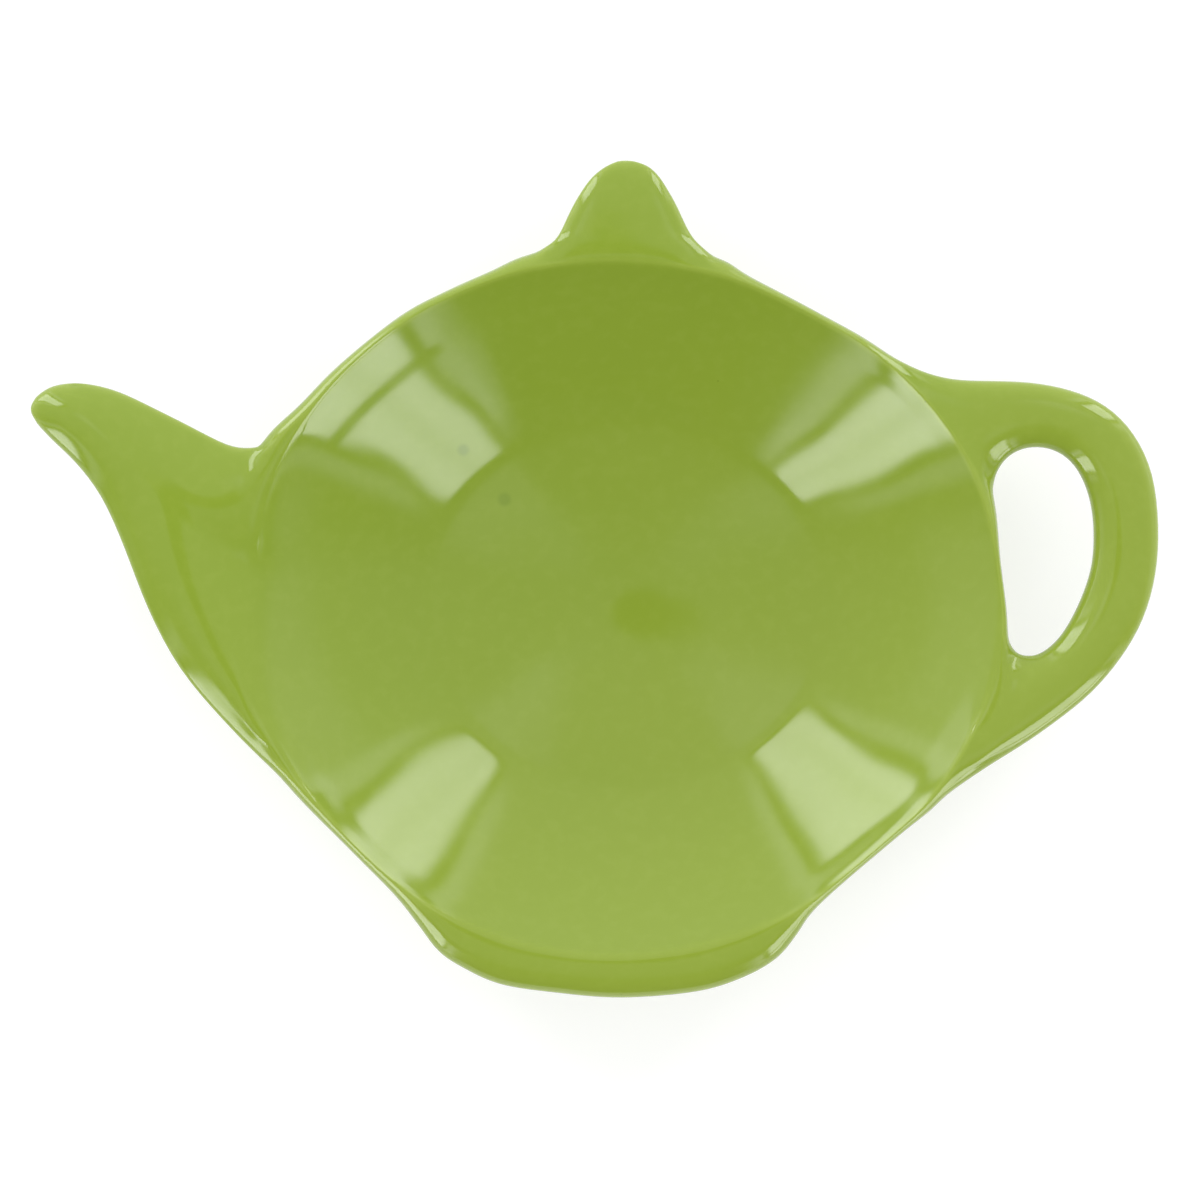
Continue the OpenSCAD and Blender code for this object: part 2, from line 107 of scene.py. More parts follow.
# Tilt of the well's wall in degrees, by the share of the way from the middle to the
# edge. The floor is a very flat cone, and the wall turns up at a ring half way out.
WELL_TILTS = [
    (0.00, 0), (0.08, 3.2), (0.16, 5.4), (0.30, 7.2), (0.45, 8.4), (0.50, 9.2), (0.53, 11.2),
    (0.555, 16.6), (0.58, 19.8), (0.62, 21.4), (0.70, 24.8), (0.78, 28.9), (0.86, 33.8), (0.93, 38.6),
    (0.97, 41.8), (1.00, 44.2),
]
# Rings of points in the well by the same share, closest where the wall turns up
WELL_RINGS = [
    0.38, 0.42, 0.46, 0.49, 0.51, 0.53, 0.55, 0.57, 0.59, 0.62, 0.66, 0.70, 0.75, 0.80, 0.85,
    0.90, 0.94, 0.97, 1.0,
]
# How late the rings turn from ellipses into the shape of the well's edge, and how many
# waves round the well that edge keeps
WELL_EDGE_POWER = 2
WELL_WAVES = 4
# Where the lip between the well and the outline is narrow: its least width, how softly
# that holds, and how far its top would drop at no width at all
NARROW_LIP, NARROW_SOFT, NARROW_DROP = 0.75, 0.5, 0.8
# Rounding of a narrow lip's outer and inner side, as a share of its width
OUTER_ROUND, INNER_ROUND = 0.55, 0.36
# Rows over the rim by their angle, and rows from there to the base by the share of the
# way inwards and the share of the way down
RIM_ANGLES = [18, 36, 54, 72]
SLOPE = [(0.18, 0.25), (0.36, 0.48), (0.53, 0.67), (0.70, 0.82), (0.86, 0.94)]

# Rows of the spout from its root to its tip: back edge x and y, front edge x and y,
# drop of the top, thickness, each as a share of the size that it follows
SPOUT = [
    (0.088, 0.991, 0.073, -0.841, 0.00, 0.90),
    (0.179, 1.009, 0.202, -0.648, 0.00, 0.97),
    (0.336, 1.125, 0.375, -0.352, 0.00, 1.00),
    (0.501, 1.244, 0.509, 0.011, 0.01, 1.00),
    (0.627, 1.330, 0.605, 0.375, 0.03, 1.00),
    (0.741, 1.375, 0.701, 0.687, 0.06, 0.98),
    (0.839, 1.384, 0.811, 0.898, 0.11, 0.95),
    (0.925, 1.358, 0.910, 1.034, 0.19, 0.86),
    (0.980, 1.298, 0.972, 1.131, 0.36, 0.56),
]
SPOUT_TIP = (1, 1.22, 0.61)
KNOB = [
    (0.110, 0.831, 0.120, -0.820, 0.00, 0.97),
    (0.230, 0.735, 0.230, -0.730, 0.00, 1.00),
    (0.370, 0.661, 0.370, -0.661, 0.00, 1.00),
    (0.530, 0.582, 0.530, -0.577, 0.00, 1.00),
    (0.680, 0.492, 0.680, -0.481, 0.02, 0.98),
    (0.820, 0.397, 0.820, -0.370, 0.06, 0.92),
    (0.935, 0.270, 0.930, -0.222, 0.14, 0.74),
    (0.985, 0.122, 0.985, -0.090, 0.27, 0.44),
]
KNOB_TIP = (1, 0.01, 0.5)
HANDLE = [
    (0.179, 0.314, -0.206, 0.683, 0.00, 0.93),
    (0.205, 0.353, -0.037, 0.651, 0.00, 0.97),
    (0.254, 0.391, 0.151, 0.646, 0.00, 1.00),
    (0.338, 0.417, 0.353, 0.641, 0.00, 1.00),
    (0.446, 0.415, 0.554, 0.615, 0.01, 1.00),
    (0.540, 0.383, 0.733, 0.561, 0.03, 1.00),
    (0.611, 0.321, 0.874, 0.465, 0.05, 1.00),
    (0.658, 0.231, 0.968, 0.327, 0.07, 1.00),
    (0.674, 0.128, 0.998, 0.151, 0.08, 1.00),
    (0.665, 0.022, 0.984, -0.013, 0.07, 1.00),
    (0.625, -0.071, 0.921, -0.167, 0.05, 1.00),
    (0.566, -0.160, 0.808, -0.301, 0.03, 1.00),
    (0.498, -0.232, 0.658, -0.420, 0.01, 1.00),
    (0.418, -0.279, 0.484, -0.516, 0.00, 1.00),
    (0.348, -0.292, 0.310, -0.599, 0.00, 0.97),
    (0.282, -0.279, 0.127, -0.676, 0.00, 0.93),
]
# Sections to a row, and the angle at which a section's side meets its top
ARM_STEPS = 2
CORNER_ANGLE = 42
# Squareness of the sections, where 2 is an ellipse: at the root and at the tip
SPOUT_POWERS, KNOB_POWERS = (4.0, 1.95), (5.5, 4.5)
# The strap is rounder along the hole than along its outer edge
STRAP_IN_POWER, STRAP_OUT_POWER = 2.3, 3.3
# Over how many rows a section loses the curve of the dish's side
FADE_ROWS = 3

# Columns of the body's rings, and the rows of a root down the side of the rim
COLUMNS = OUTLINE_STEPS * len(OUTLINE)
SIDE_TOP = len(WELL_RINGS) + 2
SIDE_MIDDLE = len(RIM_ANGLES) + 1
SIDE_ROWS = 2 * len(RIM_ANGLES) + 2


def curve(points, steps, closed=False):
    """Catmull-Rom curve through points, with a number of steps between neighbours."""
    points = np.asarray(points, float)
    n = len(points)
    out = []
    for i in range(n if closed else n - 1):
        picks = [i - 1, i, i + 1, i + 2]
        picks = [k % n for k in picks] if closed else [min(max(k, 0), n - 1) for k in picks]
        a, b, c, d = points[picks]
        for t in np.arange(steps) / steps:
            out.append((2 * b + (c - a) * t + (2 * a - 5 * b + 4 * c - d) * t**2
                        + (3 * b - a - 3 * c + d) * t**3) / 2)
    if not closed:
        out.append(points[-1])
    return np.array(out)


def unit(v):
    return v / np.linalg.norm(v, axis=-1, keepdims=True)


def at_height(points, z):
    return np.column_stack([points, np.broadcast_to(z, len(points))])


def lesser_of(a, b, soft):
    """The lesser of two, with the corner between them rounded."""
    return (a + b - np.hypot(a - b, soft)) / 2


# The well's rise, from its tilts, at many even steps
TILT_STEPS, RISE_STEPS = 12, 400
fine_share = np.linspace(0, 1, RISE_STEPS + 1)
tilt_curve = curve(WELL_TILTS, TILT_STEPS)
fine_tilt = np.interp(fine_share, tilt_curve[:, 0], tilt_curve[:, 1])
fine_rise = np.concatenate([[0], np.cumsum(np.tan(np.radians((fine_tilt[1:] + fine_tilt[:-1]) / 2)))])
fine_rise *= (WELL_DROP - WELL_EDGE_R) / fine_rise[-1]

edge = curve([(x * DISH_W, y * DISH_D) for x, y in OUTLINE], OUTLINE_STEPS, closed=True)
towards = unit(edge)


def well_radius(directions, power):
    x = np.abs(directions[:, 0]) / WELL_W * 2
    y = np.abs(directions[:, 1]) / WELL_L * 2
    return (x**power + y**power) ** (-1 / power)


def smoothed_round(reach):
    """The reach by direction with only its first few waves round the well kept."""
    steps = 720
    turn = np.unwrap(np.arctan2(towards[:, 1], towards[:, 0]))
    even = turn[0] + np.linspace(0, 2 * math.pi, steps, endpoint=False)
    parts = np.fft.rfft(np.interp(even, turn, reach, period=2 * math.pi))
    parts[WELL_WAVES + 1:] = 0
    return np.interp(turn, even, np.fft.irfft(parts, steps), period=2 * math.pi)


edge_reach = np.linalg.norm(edge, axis=1)
well_reach = smoothed_round(lesser_of(well_radius(towards, WELL_POWER), edge_reach - LIP_W, LIP_W))
well_reach = lesser_of(well_reach, edge_reach - NARROW_LIP, NARROW_SOFT)
ellipse_reach = well_radius(towards, 2)
lips = edge_reach - well_reach
# A narrow lip is a little lower, so that it stays round
lip_drop = NARROW_DROP * (1 - np.minimum(lips / RIM_T * 2, 1)) ** 2


def well_height(share):
    return RIM_H - WELL_DROP + np.interp(share, fine_share, fine_rise)


def well_ring(share):
    """A ring of the well: an ellipse near the middle that takes on the edge's shape."""
    to_edge = share**WELL_EDGE_POWER
    reach = (ellipse_reach * (1 - to_edge) + well_reach * to_edge) * share
    return at_height(towards * reach[:, None], well_height(share))


def share_of_well(flat):
    """How far out points lie, as a share of the way from the middle to the well's edge."""
    out = np.linalg.norm(flat, axis=1)
    angle = np.arctan2(flat[:, 1], flat[:, 0])
    turn = np.arctan2(towards[:, 1], towards[:, 0])
    order = np.argsort(turn)
    near_middle, at_edge = (np.interp(angle, turn[order], reach[order], period=2 * math.pi)
                            for reach in (ellipse_reach, well_reach))
    share = out / near_middle
    # A ring's shape follows from its share, so a few passes find the two together
    passes = 6
    for _ in range(passes):
        to_edge = np.minimum(share, 1)**WELL_EDGE_POWER
        share = out / (near_middle * (1 - to_edge) + at_edge * to_edge)
    return share


def drawn_in(share, below=False):
    """The outline drawn in by a share of the rim's rounding, above or below its edge."""
    depth = np.full(COLUMNS, RIM_T / 2) if below else np.minimum(RIM_T / 2, OUTER_ROUND * lips)
    return edge - towards * (depth * share)[:, None]


def circle(radius):
    return towards * radius


# Rings of the body, from the well's floor over the rim and down to the glaze line
rim_round = RIM_T / 2
lip_line = towards * (well_reach + np.minimum(WELL_EDGE_R, INNER_ROUND * lips))[:, None]
crest = drawn_in(1)
rings = [well_ring(share) for share in WELL_RINGS]
rings += [at_height(line, RIM_H - lip_drop) for line in (lip_line, (lip_line + crest) / 2, crest)]
for angle in np.radians(RIM_ANGLES):
    z = RIM_H - rim_round + (rim_round - lip_drop) * math.cos(angle)
    rings.append(at_height(drawn_in(1 - math.sin(angle)), z))
rings.append(at_height(edge, RIM_H - rim_round))
for angle in np.radians(RIM_ANGLES[::-1]):
    z = RIM_H - rim_round * (1 + math.cos(angle))
    rings.append(at_height(drawn_in(1 - math.sin(angle), below=True), z))
lower = drawn_in(1, below=True)
rings.append(at_height(lower, RIM_H - RIM_T))
for inwards, down in SLOPE:
    z = RIM_H - RIM_T - (RIM_H - RIM_T - UNDER_GLAZE_H) * down
    rings.append(at_height(lower + (circle(BASE_R) - lower) * inwards, z))
# The glaze ends in a small rolled edge beside the foot ring
glaze_line_r = FOOT_R + GLAZE_WIPE
for radius, z in [
    (BASE_R, UNDER_GLAZE_H), (glaze_line_r + 0.25, UNDER_GLAZE_H),
    (glaze_line_r + 0.06, UNDER_GLAZE_H + 0.06), (glaze_line_r, UNDER_GLAZE_H + 0.18),
    (glaze_line_r - 0.01, FOOT_H - 0.05), (glaze_line_r - 0.1, FOOT_H),
    (glaze_line_r - 1, FOOT_H), (BASE_R / 2, FOOT_H),
]:
    rings.append(at_height(circle(radius), z))

# Roots, and the sections that grow from them


def root_columns(root):
    a, b = root[0] * OUTLINE_STEPS, root[1] * OUTLINE_STEPS
    return list(range(a, b + 1)) if b > a else list(range(a, b - 1, -1))


def root_loop(root):
    """Ring and column of the points round a root: along its top, down, back and up."""
    across = root_columns(root)
    return ([(SIDE_TOP, i) for i in across]
            + [(SIDE_TOP + row, across[-1]) for row in range(1, SIDE_ROWS)]
            + [(SIDE_TOP + SIDE_ROWS, i) for i in reversed(across)]
            + [(SIDE_TOP + row, across[0]) for row in range(SIDE_ROWS - 1, 0, -1)])


def side_angle(row):
    if row <= SIDE_MIDDLE:
        return CORNER_ANGLE * (1 - row / SIDE_MIDDLE)
    return CORNER_ANGLE * (SIDE_MIDDLE - row) / (SIDE_ROWS - SIDE_MIDDLE)


def section_angles(cells):
    across = 180 - 2 * CORNER_ANGLE
    return np.radians([180 - CORNER_ANGLE - across * m / cells for m in range(cells + 1)]
                      + [side_angle(row) for row in range(1, SIDE_ROWS)]
                      + [-CORNER_ANGLE - across * m / cells for m in range(cells + 1)]
                      + [180 - side_angle(row) for row in range(SIDE_ROWS - 1, 0, -1)])


def root_bulges(root):
    """How far the dish's side bulges beyond the straight line across a root."""
    across = edge[[i % COLUMNS for i in root_columns(root)]]
    along = across - np.linspace(across[0], across[-1], len(across))
    side = np.zeros((SIDE_ROWS - 1, 2))
    return np.concatenate([along, side, along[::-1], side])


def fade(row):
    return max(0.0, 1 - row / FADE_ROWS) ** 2


def squared(x, power):
    return np.sign(x) * np.abs(x) ** (2 / power)


def section(row, bulges, in_power, out_power):
    """Points round a row of a table: flat on top and below, and rounded at both sides."""
    a, b = np.array(row[0:2]), np.array(row[2:4])
    angles = section_angles(len(bulges) // 2 - SIDE_ROWS)
    power = np.where(np.cos(angles) < 0, in_power, out_power)
    flat = (a + b) / 2 + np.outer(squared(np.cos(angles), power), (b - a) / 2) + bulges
    half = row[5] / 2
    return np.column_stack([flat, row[4] - half + half * squared(np.sin(angles), power)])


def root_ends(root):
    return edge[root[0] * OUTLINE_STEPS], edge[root[1] * OUTLINE_STEPS]


def placed(table, place, thickness):
    return [(*place(r[0], r[1]), *place(r[2], r[3]), RIM_H - r[4] * RIM_T, r[5] * thickness) for r in table]


def root_row(root):
    a, b = root_ends(root)
    return (*a, *b, RIM_H, RIM_T)


spout_a, spout_b = root_ends(SPOUT_ROOT)


def spout_place(x, y):
    middle = (spout_a + spout_b) / 2
    return middle[0] - x * SPOUT_REACH, middle[1] + y * (spout_a[1] - spout_b[1]) / 2


knob_a, knob_b = root_ends(KNOB_ROOT)


def knob_place(x, y):
    middle = (knob_a + knob_b) / 2
    return middle[0] + y * (knob_a[0] - knob_b[0]) / 2, middle[1] + x * KNOB_REACH


handle_top = sum(root_ends(HANDLE_TOP_ROOT)) / 2
handle_low = sum(root_ends(HANDLE_LOW_ROOT)) / 2


def handle_place(x, y):
    middle = (handle_top + handle_low) / 2
    return middle[0] + x * HANDLE_REACH, middle[1] + y * (handle_top[1] - handle_low[1])


def free_sections(table, place, thickness, root, powers):
    """Sections from a root to a free end, which turn from one squareness to another."""
    rows = curve([root_row(root)] + placed(table, place, thickness), ARM_STEPS)[1:]
    bulges = root_bulges(root)
    first, last = powers
    even = [last + (first - last) * (1 - k / len(rows))**2 for k in range(len(rows))]
    return [section(row, bulges * fade((k + 1) / ARM_STEPS), power, power)
            for k, (row, power) in enumerate(zip(rows, even))]


def bridge_sections():
    """Sections of the strap, from its upper root to its lower one."""
    rows = curve([root_row(HANDLE_TOP_ROOT)] + placed(HANDLE, handle_place, STRAP_T)
                 + [root_row(HANDLE_LOW_ROOT)], ARM_STEPS)[1:-1]
    start, end = root_bulges(HANDLE_TOP_ROOT), root_bulges(HANDLE_LOW_ROOT)
    return [section(row, start * fade((k + 1) / ARM_STEPS) + end * fade((len(rows) - k) / ARM_STEPS),
                    STRAP_IN_POWER, STRAP_OUT_POWER)
            for k, row in enumerate(rows)]


def filled(grid):
    """A grid of points with its border given, and its inside drawn evenly between."""
    rows, cols = grid.shape[0] - 2, grid.shape[1] - 2
    number = np.arange(rows * cols).reshape(rows, cols)
    matrix = np.zeros((rows * cols, rows * cols))
    known = np.zeros((rows * cols, grid.shape[2]))
    np.fill_diagonal(matrix, 4)
    for r in range(rows):
        for c in range(cols):
            for dr, dc in ((1, 0), (-1, 0), (0, 1), (0, -1)):
                if 0 <= r + dr < rows and 0 <= c + dc < cols:
                    matrix[number[r, c], number[r + dr, c + dc]] = -1
                else:
                    known[number[r, c]] += grid[r + 1 + dr, c + 1 + dc]
    out = grid.copy()
    out[1:-1, 1:-1] = np.linalg.solve(matrix, known).reshape(rows, cols, -1)
    return out


class Cage:
    """Points and four-sided faces of a closed surface, before it is smoothed."""

    def __init__(self):
        self.points = []
        self.faces = []

    def add(self, points):
        first = len(self.points)
        self.points.extend(tuple(map(float, p)) for p in points)
        return list(range(first, len(self.points)))

    def band(self, a, b, skip=()):
        """Faces between two closed loops of points, but for the places in skip."""
        n = len(a)
        for i in range(n):
            if i not in skip:
                self.faces.append((a[i], b[i], b[(i + 1) % n], a[(i + 1) % n]))

    def grid(self, loop, across, down, shape=None):
        """Closes a loop with a grid. shape changes the points inside, if it is given."""
        ids = -np.ones((down + 1, across + 1), int)
        ids[0, :] = loop[0:across + 1]
        ids[:, across] = loop[across:across + down + 1]
        ids[down, ::-1] = loop[across + down:2 * across + down + 1]
        ids[1:, 0] = loop[2 * across + down:][::-1]
        places = np.zeros((down + 1, across + 1, 3))
        given = ids >= 0
        places[given] = np.array(self.points)[ids[given]]
        places = filled(places)
        if shape:
            places = shape(places)
        inside = self.add(places[1:-1, 1:-1].reshape(-1, 3))
        ids[1:-1, 1:-1] = np.array(inside).reshape(down - 1, across - 1)
        for r in range(down):
            for c in range(across):
                self.faces.append((ids[r, c], ids[r + 1, c], ids[r + 1, c + 1], ids[r, c + 1]))

    def mesh(self, name):
        """The surface, smoothed once, as an object in metres."""
        used = sorted({i for face in self.faces for i in face})
        number = {i: k for k, i in enumerate(used)}
        rough = bpy.data.meshes.new(name + "_cage")
        rough.from_pydata([[v * MM for v in self.points[i]] for i in used], [],
                          [[number[i] for i in face] for face in self.faces])
        rough.update()
        piece = bpy.data.objects.new(name, rough)
        bpy.context.collection.objects.link(piece)
        smoother = piece.modifiers.new("smooth", "SUBSURF")
        smoother.levels = smoother.render_levels = 1
        shown = piece.evaluated_get(bpy.context.evaluated_depsgraph_get())
        smooth = bpy.data.meshes.new_from_object(shown)
        piece.modifiers.clear()
        piece.data = smooth
        smooth.name = name
        bpy.data.meshes.remove(rough)
        smooth.shade_smooth()
        return piece


def border(loop, from_above=True):
    """A ring's points from a corner of its grid on, clockwise as its grid is seen. The
    corners stand on the slants, three points of OUTLINE past each quarter."""
    start = 3 * OUTLINE_STEPS + len(loop) // 4
    way = -1 if from_above else 1
    return [loop[(start + way * k) % len(loop)] for k in range(len(loop))]


def well_shape(places):
    """Sets the height of the floor's points."""
    flat = places.reshape(-1, 3)
    flat[:, 2] = well_height(share_of_well(flat[:, :2]))
    return flat.reshape(places.shape)


body = Cage()
loops = [body.add(ring) for ring in rings]
under_roots = {i for root in (SPOUT_ROOT, KNOB_ROOT, HANDLE_TOP_ROOT, HANDLE_LOW_ROOT)
               for i in range(min(root) * OUTLINE_STEPS, max(root) * OUTLINE_STEPS)}
for row in range(len(loops) - 1):
    at_root = SIDE_TOP <= row < SIDE_TOP + SIDE_ROWS
    body.band(loops[row], loops[row + 1], under_roots if at_root else ())
quarter = COLUMNS // 4
body.grid(border(loops[0]), quarter, quarter, well_shape)
body.grid(border(loops[-1], False), quarter, quarter)


def grow(root, sections, end_root=None, tip=None):
    """Joins sections to the body's root loop, and to a second root or a rounded tip."""
    chain = [[loops[row][i % COLUMNS] for row, i in root_loop(root)]]
    chain += [body.add(s) for s in sections]
    if end_root:
        chain.append([loops[row][i % COLUMNS] for row, i in root_loop(end_root)])
    for a, b in zip(chain, chain[1:]):
        body.band(a, b)
    if tip is not None:
        middle = sections[-1].mean(0)

        def round_off(places):
            v, u = (np.linspace(-1, 1, k)[:, None] for k in places.shape[:2])
            swell = (1 - v**2) * (1 - u.T**2)
            return places + swell[:, :, None] * (np.array(tip) - middle)

        cells = len(root_columns(root)) - 1
        body.grid(chain[-1], cells, SIDE_ROWS, round_off)


grow(SPOUT_ROOT, free_sections(SPOUT, spout_place, SPOUT_T, SPOUT_ROOT, SPOUT_POWERS),
     tip=(*spout_place(*SPOUT_TIP[:2]), RIM_H - SPOUT_TIP[2] * RIM_T))
grow(KNOB_ROOT, free_sections(KNOB, knob_place, KNOB_T, KNOB_ROOT, KNOB_POWERS),
     tip=(*knob_place(*KNOB_TIP[:2]), RIM_H - KNOB_TIP[2] * RIM_T))
grow(HANDLE_TOP_ROOT, bridge_sections(), end_root=HANDLE_LOW_ROOT)


# The spout's root is scooped like the mouth of a funnel, which opens into the well. Its
# edge runs up the middle of the spout and back: SCOOP_FRONT bounds it on the side of the
# front edge and SCOOP_BACK on the side of the back edge. Both run away from the tip.
SCOOP_FRONT = [
    (-57.5, 21.5), (-54.4, 17.7), (-52.6, 15.9), (-50.6, 13.4), (-49.0, 10.8), (-48.1, 7.0),
    (-47.3, 3.7), (-46.0, 0), (-43.6, -5.9), (-41.5, -8.9), (-38.6, -13.2), (-35.4, -17.4),
]
SCOOP_BACK = [
    (-57.0, 22.5), (-53.2, 18.4), (-51.2, 16.1), (-49.3, 13.9), (-47.2, 11.9), (-44.8, 10.9),
    (-42.3, 11.0), (-39.9, 12.8), (-37.2, 15.2), (-34.4, 17.4),
]
SCOOP_STEPS = 4
# Its slope, and the rounding along its two lines and where they meet
SCOOP_SLOPE = 0.15
SCOOP_SOFT, SCOOP_TIP_SOFT = 1.3, 0.8
# The spout's top falls away from those two lines on their other side too
FRONT_SLOPE, BACK_SLOPE = 0.08, 0.09
# Rounding of the well's edge where the scoop opens it. Where the edge is softer: the way
# to it in degrees from +X, half the angle where it is fully soft and half the angle where
# that ends, and the size of its rounding
EDGE_R = 0.4
SOFT_EDGES = [(186, 4, 28, 1.7), (172, 5, 25, 0.95), (356, 4, 18, 1.2), (91, 4, 14, 0.55)]

# The two limits between which each change of the smoothed body fades in: by how far a
# point faces up and by its share of the well, with a minus where it fades outwards
WALL_FACING, WALL_SHARE = (0.3, 0.5), (-0.98, -0.95)
EDGE_FACING, EDGE_SHARE = (0.2, 0.6), (0.72, 0.86)
OUTSIDE_SHARE = (1.02, 1.1)
# By how far the edge is softened and scooped
OPENED = (0, 0.1)
# By how far to the left it lies, and by its height
SCOOP_LEFT, SHOULDER_LEFT = (32, 37), (40, 46)
SHOULDER_HEIGHT = (RIM_H - RIM_T / 2, RIM_H - 0.5)
# The well lies above this height and the underside below it
WELL_ABOVE = RIM_H - RIM_T - WELL_DROP + 2


def beside(flat, line):
    """Distance from a line of points, above nought on its left-hand side."""
    line = curve(line, SCOOP_STEPS)
    nearest = np.full(len(flat), np.inf)
    side = np.zeros(len(flat))
    for a, b in zip(line, line[1:]):
        ab = b - a
        t = np.clip(((flat - a) @ ab) / (ab @ ab), 0, 1)
        gap = flat - a - t[:, None] * ab
        far = np.linalg.norm(gap, axis=1)
        closer = far < nearest
        nearest[closer] = far[closer]
        side[closer] = np.sign(ab[0] * gap[:, 1] - ab[1] * gap[:, 0])[closer]
    return nearest * side


def past(distance):
    """A distance past a line, and nought before it, with the corner rounded."""
    return (distance + np.hypot(distance, SCOOP_SOFT)) / 2


def scoop_drop(flat):
    """How deep the scoop lies under the spout's top."""
    return SCOOP_SLOPE * past(lesser_of(beside(flat, SCOOP_FRONT), -beside(flat, SCOOP_BACK), SCOOP_TIP_SOFT))


def shoulder_drop(flat):
    """How far the spout's top falls away towards its front and its back edge."""
    return FRONT_SLOPE * past(-beside(flat, SCOOP_FRONT)) + BACK_SLOPE * past(beside(flat, SCOOP_BACK))


def soft_step(x, low, high):
    t = np.clip((x - low) / (high - low), 0, 1)
    return t * t * (3 - 2 * t)


def vertices(mesh):
    co = np.empty(len(mesh.vertices) * 3)
    mesh.vertices.foreach_get("co", co)
    return co.reshape(-1, 3) / MM


def set_vertices(mesh, co):
    mesh.vertices.foreach_set("co", (co * MM).ravel())
    mesh.update()


def normals(mesh):
    out = np.empty(len(mesh.vertices) * 3)
    mesh.vertex_normals.foreach_get("vector", out)
    return out.reshape(-1, 3)


# The glaze ran a little before it set, so its surface is not quite even. The shift takes
# the short waves from another part of the pattern than the long ones
WAVE_LONG, WAVE_LONG_DEPTH = 9, 0.20
WAVE_SHORT, WAVE_SHORT_DEPTH, WAVE_SHIFT = 4.5, 0.02, 40
# The bulge, as one over its radius, at which glaze is thinnest, and how often bulges are
# averaged with their neighbours
FULL_BULGE, BULGE_PASSES = 0.5, 4


def let_glaze_run(mesh):
    """Sinks the surface by long and short waves, never outside the form it started from."""
    co, normal = vertices(mesh), normals(mesh)
    deep = np.array([
        WAVE_LONG_DEPTH * (1 + noise.noise(Vector(p / WAVE_LONG))) / 2
        + WAVE_SHORT_DEPTH * (1 + noise.noise(Vector(p / WAVE_SHORT + WAVE_SHIFT))) / 2
        for p in co
    ])
    co[:, 2] -= normal[:, 2] * deep
    set_vertices(mesh, co)


def mark_thin_glaze(mesh):
    """Stores how strongly each point bulges, since glaze draws thin over an edge."""
    co, normal = vertices(mesh), normals(mesh)
    ends = np.empty(len(mesh.edges) * 2, int)
    mesh.edges.foreach_get("vertices", ends)
    a, b = ends.reshape(-1, 2).T
    step = co[b] - co[a]
    far = (step**2).sum(1)
    bend = np.zeros(len(co))
    count = np.zeros(len(co))
    np.add.at(bend, a, -(normal[a] * step).sum(1) * 2 / far)
    np.add.at(bend, b, (normal[b] * step).sum(1) * 2 / far)
    np.add.at(count, a, 1)
    np.add.at(count, b, 1)
    bend /= count
    for _ in range(BULGE_PASSES):
        total = np.zeros(len(co))
        np.add.at(total, a, bend[b])
        np.add.at(total, b, bend[a])
        bend = (bend + total / count) / 2
    layer = mesh.attributes.new("glaze_thin", "FLOAT", "POINT")
    layer.data.foreach_set("value", np.clip(bend / FULL_BULGE, -1, 1))


glazed = body.mesh("glazed_body")
co, normal = vertices(glazed.data), normals(glazed.data)
share = share_of_well(co[:, :2])
# Smoothing rounds off the bends of the well's wall, so its points are set back on it
on_wall = soft_step(normal[:, 2], *WALL_FACING) * soft_step(-share, *WALL_SHARE) * (co[:, 2] > WELL_ABOVE)
co[:, 2] += (well_height(share) - co[:, 2]) * on_wall
# The softer parts of the well's edge, the scoop and the falling sides of the spout's top
soft = np.zeros(len(co))
for way, full_half, half, size in SOFT_EDGES:
    off = np.abs((np.degrees(np.arctan2(co[:, 1], co[:, 0])) - way + 180) % 360 - 180)
    soft = np.maximum(soft, soft_step(-off, -half, -full_half) * (size - EDGE_R))
wall = np.where(share < 1, well_height(share), RIM_H - WELL_EDGE_R + (share - 1) * WELL_W / 2)
scooped = scoop_drop(co[:, :2]) * soft_step(-co[:, 0], *SCOOP_LEFT)
top = RIM_H - scooped - (RIM_H - co[:, 2]) * soft_step(share, *OUTSIDE_SHARE)
opened = np.minimum(lesser_of(wall, top, EDGE_R + soft) - co[:, 2], 0) * soft_step(soft + scooped, *OPENED)
co[:, 2] += opened * soft_step(normal[:, 2], *EDGE_FACING) * soft_step(share, *EDGE_SHARE)
beside_scoop = soft_step(-co[:, 0], *SHOULDER_LEFT)
co[:, 2] -= shoulder_drop(co[:, :2]) * beside_scoop * soft_step(co[:, 2], *SHOULDER_HEIGHT)
set_vertices(glazed.data, co)
mark_thin_glaze(glazed.data)
let_glaze_run(glazed.data)


def lathe(name, profile, closed_ends=False):
    """Turns a profile of radii and heights about Z, the outside first as it goes down."""
    cage = Cage()
    rounds = [cage.add(at_height(circle(radius), z)) for radius, z in profile]
    for a, b in zip(rounds, rounds[1:]):
        cage.band(a, b)
    if closed_ends:
        cage.grid(border(rounds[0]), quarter, quarter)
        cage.grid(border(rounds[-1], False), quarter, quarter)
    else:
        cage.band(rounds[-1], rounds[0])
    return cage.mesh(name)


